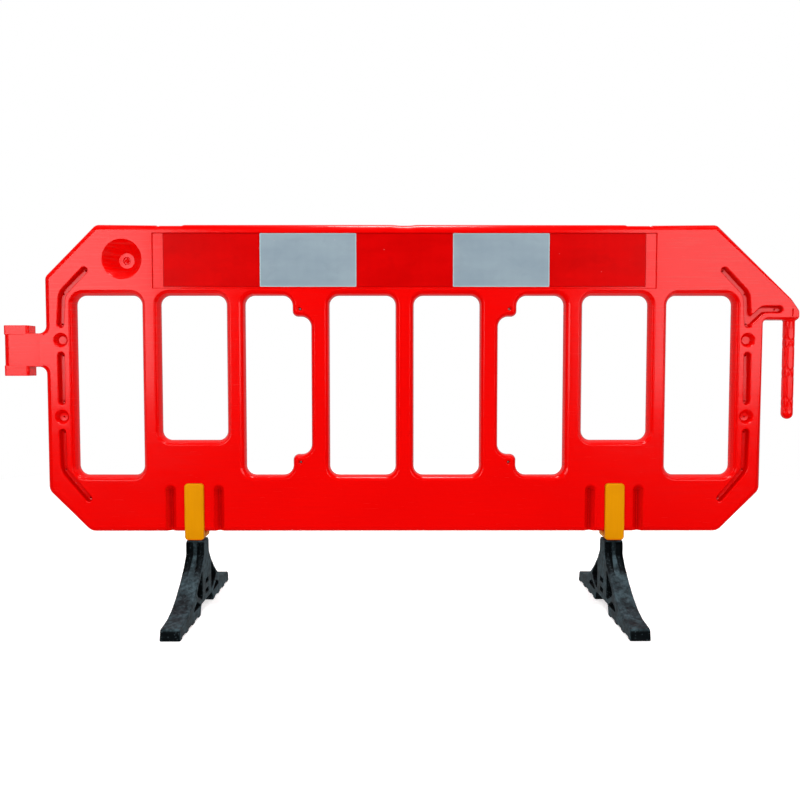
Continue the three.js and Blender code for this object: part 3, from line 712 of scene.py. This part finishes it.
def lamp_well(skin, x, z):
    """The lamp recess: a smooth cone, a flat seat and a blind hole with a small cross in it."""
    seat, hole, hole_floor = LAMP_RIM - LAMP_SEAT, LAMP_RIM - LAMP_HOLE, LAMP_DEPTH + 3.5
    wall = [(0, 0), (.6, .15), (1.8, 1.1)]
    wall += [(seat - 1.4 - (1 - t) * 29, 1.1 + t * 36.6) for t in (.25, .5, .75, 1)]
    wall += [(seat - .5, LAMP_DEPTH - .4), (seat, LAMP_DEPTH),
             (hole - .6, LAMP_DEPTH), (hole, LAMP_DEPTH + .5), (hole + .3, hole_floor)]
    top, floor = skin.rings(circle(x, z, LAMP_RIM, 72), wall)
    half, reach = 1.5, 6.5
    quarter = [(reach, -half), (reach, half), (half, half)]
    cross = [(x + c * a - s * b, z + s * a + c * b)
             for c, s in ((1, 0), (0, 1), (-1, 0), (0, -1)) for a, b in quarter]
    foot, head = skin.rings(np.array(cross), [(0, hole_floor), (.3, LAMP_DEPTH + 1.6)])
    skin.fill([floor, foot])
    skin.fill([head])
    return top


def panel_half(lamp_side):
    """One face of the panel, from the face to mid-thickness. Heights are depths below the face."""
    skin = Skin()
    rim = outer_rim()
    width, relief = outer_bevel(rim), edge_relief(*rim.T)
    rows = []
    for share, depth in OUTER_EDGE:
        row = shifted(rim, width * (1 - share))
        row[:, 1] += relief * min(share, 1)
        rows.append(skin.ring(row, depth))
    for a, b in zip(rows, rows[1:]):
        skin.strip(a, b)
    face_rings = [rows[0]]

    for i in range(WINDOW_COUNT):
        loop = window_rim(i)
        width = window_bevel(i, loop)
        profile = SOFT_EDGE if i in SOFT_WINDOWS else STEPPED_EDGE
        top, _ = skin.rings(loop, [(width * (share - 1), depth) for share, depth in profile])
        face_rings.append(top)

    for side in (-1, 1):
        for loop, pits in groove_loops(side):
            face_rings.append(skin.well(loop, GROOVE_WALL, pits))
        for z in DIMPLES:
            pits = [(side * POST_X, z, 2.2)] if z == min(DIMPLES) else []
            face_rings.append(skin.well(circle(side * POST_X, z, DIMPLE_RADIUS), DIMPLE_WALL, pits))
        left, right = side * FOOT_X - SLOT_HALF, side * FOOT_X + SLOT_HALF
        slot = rounded([(left, SLOT_BOTTOM, 1), (right, SLOT_BOTTOM, 1),
                        (right, SLOT_TOP, SLOT_RADIUS), (left, SLOT_TOP, SLOT_RADIUS)])
        face_rings.append(skin.well(slot, SLOT_WALL))

    face_rings.append(lamp_well(skin, lamp_side * LAMP_X, LAMP_Z))
    strip = rounded(box_corners(-STRIP_X, STRIP_BOTTOM, STRIP_X, STRIP_TOP, 3))
    face_rings.append(skin.well(strip, STRIP_WALL))

    for i in LUG_WINDOWS:
        x = window_centre(i) + towards_middle(i) * (WINDOW_WIDTH / 2 - LUG_HOLE_X)
        for z in (WINDOW_TOP - LUG_HOLE_Z, WINDOW_BOTTOM[i] + LUG_HOLE_Z):
            top, _ = skin.rings(circle(x, z, LUG_HOLE_RADIUS, 24), LUG_HOLE_WALL)
            face_rings.append(top)

    seam = rounded(box_corners(LINK_X - 4, 763, LINK_X + .6, 786, 2.2))
    face_rings.append(skin.well(seam, SEAM_WALL))

    for field in LABEL_FIELDS:
        face_rings += skin.rings(rounded(box_corners(*field)), LABEL_LINE)

    skin.fill(face_rings, flute_points())
    x, z, depth = np.array(skin.points).T
    depth = np.maximum(depth, np.where(depth < FLUTE_DEPTH, flute_depth(x, z), 0))
    skin.points = list(zip(x, z, depth))
    return skin


def panel(look):
    """The panel's moulding. The back is the front turned over, so each face has its lamp recess at the
    left end as one looks at it."""
    front, back = panel_half(-1), panel_half(1)
    made = mesh_object(
        "panel_moulding",
        [(front, lambda u, v, w: (u, w - FACE, v)), (back, lambda u, v, w: (u, FACE - w, v))],
        [look], "barrier", "red_hdpe", ["panel"])
    drain_hole = (0, 0, PANEL_BOTTOM - 4, PANEL_BOTTOM + 14, 3.5)
    cut_round(made, [drain_hole])
    return made


def loop_profile(z0, z1):
    """A socket loop's upright wall between two heights, with both ends rounded."""
    return [(s, z0 + h) for s, h in LOOP_EDGE] + [(s, z1 - h) for s, h in LOOP_EDGE[::-1]]


def knuckle(look):
    """The middle loop of the pin socket, open at the back: a strip along a line seen from above."""
    left, front, bend, half = -LINK_X - 31.25, -20.55, 16.25, 2.75
    path = rounded([(-930, front + .35, 0), (-985, front, 0), (left, front, bend), (left, 4, 0)],
                   closed=False)
    side = sideways(path, closed=False) * half
    outline = np.concatenate([path - side, (path + side)[::-1]])
    skin = Skin()
    low, high = skin.rings(outline, loop_profile(KNUCKLE_BOTTOM - 1, KNUCKLE_TOP + 1))
    skin.fill([low])
    skin.fill([high])
    mesh_object("socket_knuckle", [(skin, facing_up)], [look], "barrier", "red_hdpe")


def ear(name, z0, z1, look):
    """A closed loop of the pin socket, with the raised line of the mould's parting round its sides."""
    x0, x1, depth, wall = -LINK_X - EAR_OUTSIDE, -LINK_X + EAR_INSIDE, 23.6, 5.5
    outer = rounded(box_corners(x0, -depth, x1, depth, EAR_CORNER))
    inner = rounded(box_corners(x0 + wall, -depth + wall, x1 - wall, depth - wall, EAR_CORNER - wall))
    finer = []
    for a, b in zip(outer, np.roll(outer, -1, axis=0)):
        parts = 25 if abs(b - a).max() > 9 else 1
        finer += [a + (b - a) * t for t in np.linspace(0, 1, parts, False)]
    outer = np.array(finer)
    on_side = np.abs(outer[:, 0] - (x0 + x1) / 2) > 20
    line = 0.7 * (1 - smoothstep(np.abs(outer[:, 1]), .3, 1.6)) * on_side
    skin = Skin()
    walls = []
    for loop, sign, rise in ((outer, 1, line), (inner, -1, 0)):
        rings = [skin.ring(shifted(loop, sign * s - rise), z) for s, z in loop_profile(z0, z1)]
        for a, b in zip(rings, rings[1:]):
            skin.strip(a, b)
        walls.append((rings[0], rings[-1]))
    skin.fill([walls[0][0], walls[1][0]])
    skin.fill([walls[0][1], walls[1][1]])
    mesh_object(name, [(skin, facing_up)], [look], "barrier", "red_hdpe")


def socket(look):
    """The three loops that take the next barrier's pin."""
    knuckle(look)
    ear("socket_ear_top", KNUCKLE_TOP - 2, EAR_TOP, look)
    ear("socket_ear_bottom", EAR_BOTTOM, KNUCKLE_BOTTOM + 2, look)


def link_pin(look):
    """The pin under the arm: a round tip, four columns of long six-sided pads parted by shallow
    crossing grooves, and a flare where it meets the arm."""
    tip_end = PIN_BOTTOM + PIN_RADIUS
    rows = np.concatenate([PIN_BOTTOM + PIN_RADIUS * (1 - np.cos(np.linspace(.06, math.pi / 2, 9))),
                           np.arange(516, 745, 2.0), np.linspace(745, 757, 9), [764]])
    crossing, flare = 17, 4.5
    around = 96
    turn = np.arange(around) * 2 * math.pi / around
    column = 2 * math.pi / PIN_COLUMNS
    off = (turn + column / 2) % column - column / 2
    across, wide = off * PIN_RADIUS, column * PIN_RADIUS / 2
    skin = Skin()
    rings = []
    for z in rows:
        radius = np.full(around, PIN_RADIUS)
        if z < tip_end:
            radius[:] = math.sqrt(max(PIN_RADIUS ** 2 - (tip_end - z) ** 2, 0))
        else:
            near = min(PIN_CROSSINGS, key=lambda c: abs(c - z)) - z
            slope = wide / crossing
            gap = np.minimum(np.abs(across - near * slope), np.abs(across + near * slope))
            gap /= math.hypot(1, slope)
            if abs(near) > crossing:
                gap = wide - np.abs(across)
            fade = smoothstep(z, tip_end, tip_end + 8) * (1 - smoothstep(z, 728, 744))
            radius -= 1.5 * (1 - smoothstep(gap, .5, 3.2)) * fade
            radius -= (PIN_RADIUS - 13.6 / np.cos(off)).clip(0, .9) * fade
            radius += flare - math.sqrt(flare ** 2 - min(max(z - 752, 0), flare) ** 2)
        loop = np.stack([LINK_X + radius * np.sin(turn), -radius * np.cos(turn)], 1)
        rings.append(skin.ring(loop, z))
    for a, b in zip(rings, rings[1:]):
        skin.strip(a, b)
    skin.fill([rings[0]])
    skin.fill([rings[-1]])
    return mesh_object("link_pin_lattice", [(skin, facing_up)], [look], "barrier", "red_hdpe", ["link_pin"])


# ---- reflective tiles --------------------
def tile(name, looks, slot):
    """A tile of film with a welded rim, in its CAD node's box."""
    low, high = (np.array(c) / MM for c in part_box(name))
    on_front = low[1] < 0
    outside, inside = (low[1], high[1]) if on_front else (high[1], low[1])
    out = -1 if on_front else 1
    skin = Skin()

    def level(inset, height, radius):
        corners = box_corners(low[0] + inset, low[2] + inset, high[0] - inset, high[2] - inset, radius)
        return skin.ring(rounded(corners), height)

    ledge = outside - out * .12
    rim = [level(0, inside, 2.5), level(0, outside - out * .35, 2.5),
           level(.35, ledge, 2.2), level(2.4, ledge, 1)]
    face = [level(2.4, ledge, 1), level(2.8, outside, .8)]
    for rings, look in ((rim, 1), (face, 0)):
        for a, b in zip(rings, rings[1:]):
            skin.strip(a, b, look)
    skin.fill([rim[0]], look=1)
    skin.fill([face[-1]])
    return mesh_object(name + "_film", [(skin, facing_front)], looks, "barrier", slot, [name])


# ---- saddles and feet --------------------
ROUND_EDGE = [(3.4, 0), (2.3, .25), (1.3, .9), (.5, 1.9), (.1, 3), (0, 3.8)]


def saddle(side, look):
    """A saddle over the lower rail: a tongue on each face, joined under the rail."""
    x = side * FOOT_X
    parts = []
    for out in (-1, 1):
        skin = Skin()
        loop = rounded(box_corners(x - SADDLE_HALF, SADDLE_BOTTOM, x + SADDLE_HALF, SADDLE_TOP, 9.5))
        profile = [(s, out * (SADDLE_OUT - h)) for s, h in ROUND_EDGE] + [(0, out * 19.4)]
        front, back = skin.rings(loop, profile)
        skin.fill([front])
        skin.fill([back])
        parts.append((skin, facing_front))
    base = Skin()
    under_rail = PANEL_BOTTOM - .3
    loop = rounded([(x - SADDLE_HALF, SADDLE_BOTTOM, 9.5), (x + SADDLE_HALF, SADDLE_BOTTOM, 9.5),
                    (x + SADDLE_HALF, under_rail, 0), (x - SADDLE_HALF, under_rail, 0)])
    front, back = base.rings(shifted(loop, .15), [(1, -21), (0, -20), (0, 20), (1, 21)])
    base.fill([front])
    base.fill([back])
    parts.append((base, facing_front))
    name = "left" if side < 0 else "right"
    return mesh_object("saddle_moulding_" + name, parts, [look], "barrier", "yellow_nylon",
                       ["saddle_" + name])


def foot_outline():
    """Side view of a foot: a slim head, two swept legs with treaded toes, and an arch between."""
    half = [(24, FOOT_TOP, 5)] + [(24, z, 0) for z in range(178, 150, -3)]
    half += [(24.5, 147, 14), *((24.5 + 7.3 * t, 147 - 9 * t, 0) for t in (1, 1.6, 2.2)), (46, 120.5, 30),
             (58, 111, 0), (70, 101.5, 0), (84, 90, 60), (122, 63, 60), (156, 45.5, 50), (192, 34.5, 30),
             (FOOT_REACH - 1, 28.5, 8), (FOOT_REACH, 0, 3)]
    arch, block, tread = 66, 16, 4
    pitch = (FOOT_REACH - arch - block) / 3
    for tooth in (3, 2, 1, 0):
        start = arch + tooth * pitch
        half.append((start, 0, 1.2))
        if tooth:
            half += [(start - 3, tread, 1.2), (start - pitch + block + 3, tread, 1.2),
                     (start - pitch + block, 0, 1.2)]
    half.append((55, 24, 7))
    other = [(-y, z, r) for y, z, r in half]
    return rounded(half[::-1] + other, degrees=15)


UPPER_POCKET = [(44, 113, 3), (53, 106, 5), (88, 79, 9), (101, 65, 6), (89, 54, 6), (52, 36, 5), (44, 40, 5)]
LOWER_POCKET = [(57, 25, 3), (98, 47, 5), (121, 38, 6), (136, 27, 4)]
POCKET_WALL = [(0, 0), (.5, .2), (.9, .9), (1.6, 16), (2.2, 17.4), (3.2, 18)]
# The head's front and back have a hollow channel on either side of a middle rib.
CHANNEL_DEPTH, CHANNEL_INNER, CHANNEL_OUTER = 11, 5, 22.4
SIDE_WINDOWS = [(47, 6.4), (74, 12)]  # (height of the centre, depth)


def foot_half():
    """One side face of a foot with its pockets, out to the middle plane. Heights are depths."""
    skin = Skin()
    loop = foot_outline()
    height = loop[:, 1]
    on_head = smoothstep(height, 97, 117) * (1 - smoothstep(height, 173, 180)) * (np.abs(loop[:, 0]) > 20)
    soft = (.3 + .7 * smoothstep(height, 3, 14)) * (1 - .6 * on_head)
    edge = [(4, 0), (2.9, .3), (1.8, .95), (.8, 1.6), (.2, 2.4), (0, 3.2)]
    edge += [(0, d) for d in (4, 5.5, 7.5, 9.5, 11.5, 13.5, 15, 16, 17, 18, 19, 20.5, FOOT_HALF_WIDTH)]
    rings = []
    for shift, depth in edge:
        row = shifted(loop, soft * shift)
        across = FOOT_HALF_WIDTH - depth
        inner = CHANNEL_INNER + 3 * (1 - smoothstep(height, 100, 150))
        channel = smoothstep(across - inner, 0, 2.6)
        channel = channel * (1 - smoothstep(across, CHANNEL_OUTER - 1.3, CHANNEL_OUTER))
        row[:, 0] -= np.sign(loop[:, 0]) * CHANNEL_DEPTH * channel * on_head
        rings.append(skin.ring(row, depth))
    for a, b in zip(rings, rings[1:]):
        skin.strip(a, b)
    faces = [rings[0]]
    for end in (-1, 1):
        for corners in (UPPER_POCKET, LOWER_POCKET):
            pocket = rounded([(end * y, z, r) for y, z, r in corners], degrees=15)
            if sum(np.cross(a, b) for a, b in zip(pocket, np.roll(pocket, -1, axis=0))) < 0:
                pocket = pocket[::-1]
            faces.append(skin.well(pocket, POCKET_WALL))
    for z, depth in SIDE_WINDOWS:
        window = rounded(box_corners(-15, z - 6.5, 15, z + 6.5, 2))
        faces.append(skin.well(window, [(0, 0), (.4, .5), (.8, depth)]))
    skin.fill(faces)
    return skin


def foot(side, look):
    """A foot from two mirrored halves, bored for the bush and, from below, for the nut."""
    name = "left" if side < 0 else "right"
    x = side * FOOT_X
    made = mesh_object(
        "foot_moulding_" + name,
        [(foot_half(), lambda u, v, w: (x - FOOT_HALF_WIDTH + w, u, v)),
         (foot_half(), lambda u, v, w: (x + FOOT_HALF_WIDTH - w, u, v))],
        [look], name + "_foot", "recycled_rubber", ["foot_" + name])
    nut_bore = (x, 0, 20, 46, 17)
    bush_bore = (x, 0, 45.9, FOOT_TOP + 4, 9.3)
    cut_round(made, [nut_bore, bush_bore])
    return made


# ---- the object --------------------
RED = red_plastic()
panel(RED)
socket(RED)
link_pin(RED)

# Each tile has its film's face and its welded rim.
RED_TILE = [film("Red film", (0.55, 0.0005, 0.0006), (0.66, 0.0006, 0.0008), 0.06),
            film_border("Red film rim", (0.54, 0.0006, 0.0008), 0.06)]
WHITE_TILE = [film("White film", (0.245, 0.315, 0.37), (0.29, 0.365, 0.415), 0.1),
              film_border("White film rim", (0.40, 0.55, 0.59), 0.1)]
for row in ("front", "back"):
    for k in range(TILE_COUNT):
        looks, slot = (WHITE_TILE, "white_reflective_film") if k % 2 else (RED_TILE, "red_reflective_film")
        tile(f"reflector_{row}_{k + 1}", looks, slot)

YELLOW, RUBBER, ZINC, NYLON = yellow_nylon(), recycled_rubber(), zinc_steel(), black_nylon()
for side in (-1, 1):
    saddle(side, YELLOW)
    foot(side, RUBBER)

# The hardware under the saddles is round and plain, so its CAD meshes stay as they are.
for name, node in frame["nodes"].items():
    if name.startswith(("pivot_bolt", "pivot_bush", "lock_nut", "lock_washer", "thrust_washer")):
        node.data.materials.clear()
        node.data.materials.append(NYLON if name.startswith("thrust") else ZINC)


# ---- stage --------------------
WORLD_FRONT, WORLD_BEHIND = 0.02, 0.45  # brightness of the surroundings to all but the camera


def floor():
    """A sheet of paper just under the feet. It takes a soft shadow and lights nothing."""
    skin = Skin()
    sheet = skin.ring(rounded(box_corners(-9000, -9000, 9000, 9000, 900)), 0)
    skin.fill([sheet])
    mesh = bpy.data.meshes.new("floor")
    mesh.from_pydata([tuple(c * MM for c in p) for p in skin.points], [], skin.faces)
    mesh.materials.append(studio_floor())
    made = bpy.data.objects.new("floor", mesh)
    bpy.context.scene.collection.objects.link(made)
    made.location.z = -0.0005
    made.visible_diffuse = made.visible_glossy = made.visible_shadow = False


def light(name, place, aim, size, radiance, mirrored):
    """A rectangular light of even radiance. Unless mirrored, reflections don't show it."""
    lamp = bpy.data.lights.new(name, "AREA")
    lamp.shape, lamp.size, lamp.size_y = "RECTANGLE", size[0], size[1]
    lamp.energy = radiance * math.pi * size[0] * size[1]
    lamp.cycles.use_multiple_importance_sampling = mirrored
    made = bpy.data.objects.new(name, lamp)
    made.location = place
    made.rotation_mode = "QUATERNION"
    made.rotation_quaternion = (Vector(aim) - Vector(place)).to_track_quat("-Z", "Y")
    made.visible_camera = False
    made.visible_glossy = mirrored
    bpy.context.scene.collection.objects.link(made)


def world():
    """White to the eye. Other rays see it dark in front and bright behind, as in a studio whose back
    wall is lit, so that the front of the object keeps its full colour."""
    made = bpy.data.worlds.new("Studio")
    bpy.context.scene.world = made
    made.use_nodes = True
    tree = made.node_tree
    towards = tree.nodes.new("ShaderNodeSeparateXYZ")
    tree.links.new(tree.nodes.new("ShaderNodeTexCoord").outputs["Generated"], towards.inputs[0])
    wall = tree.nodes.new("ShaderNodeMapRange")
    wall.interpolation_type = "SMOOTHSTEP"
    for key, value in (("From Min", 0.0), ("From Max", 0.6),
                       ("To Min", WORLD_FRONT), ("To Max", WORLD_BEHIND)):
        wall.inputs[key].default_value = value
    tree.links.new(towards.outputs["Y"], wall.inputs["Value"])
    ray = tree.nodes.new("ShaderNodeLightPath")
    seen = tree.nodes.new("ShaderNodeMix")
    seen.inputs[MIX_FLOAT_B].default_value = 1.0
    tree.links.new(ray.outputs["Is Camera Ray"], seen.inputs[MIX_FACTOR])
    tree.links.new(wall.outputs["Result"], seen.inputs[MIX_FLOAT_A])
    tree.links.new(seen.outputs[MIX_FLOAT_RESULT], tree.nodes["Background"].inputs["Strength"])
    tree.nodes["Background"].inputs["Color"].default_value = (1, 1, 1, 1)


floor()
world()
# Softboxes whose reflections lighten the two ends of the panel, even light from all round, and a
# lamp overhead that glints on the upper edges. Name, place, aim, size, radiance, seen in reflections.
light("Left softbox", (-2.5, -3.0, 1.45), (-2.5, 0, 1.45), (2.0, 2.0), 2.6, True)
light("Right softbox", (2.4, -3.0, 1.45), (2.4, 0, 1.45), (2.0, 2.0), 2.1, True)
light("Front fill", (0, -4.5, 1.3), (0, 0, 0.6), (7.0, 3.5), 2.5, False)
light("Top fill", (0, -0.3, 3.6), (0, 0, 0.5), (5.0, 3.0), 1.0, False)
light("Low fill", (0, -0.5, -2.6), (0, 0, 0.5), (5.0, 3.5), 1.5, False)
light("Back fill", (0, 4.0, 1.5), (0, 0, 0.6), (6.0, 3.0), 2.6, False)
light("Left fill", (-5.0, -1.2, 1.2), (0, 0, 0.6), (3.0, 3.0), 0.8, False)
light("Right fill", (5.0, -1.2, 1.2), (0, 0, 0.6), (3.0, 3.0), 0.6, False)
light("Overhead spot", (0, -0.5, 3.5), (0, 0, 0.9), (0.8, 0.6), 21, True)

CAMERA_PLACE, CAMERA_PITCH, CAMERA_YAW, CAMERA_LENS = (-0.017, -1.971, 0.6406), 2.67, -0.0026, 34.0
camera = bpy.data.objects.new("Camera", bpy.data.cameras.new("Camera"))
camera.data.lens, camera.data.sensor_width = CAMERA_LENS, 36
camera.data.clip_start, camera.data.clip_end = 0.05, 60
camera.location = CAMERA_PLACE
camera.rotation_euler = (math.radians(90 - CAMERA_PITCH), 0, CAMERA_YAW)
bpy.context.scene.collection.objects.link(camera)
bpy.context.scene.camera = camera
bpy.context.scene.view_settings.view_transform = "Standard"
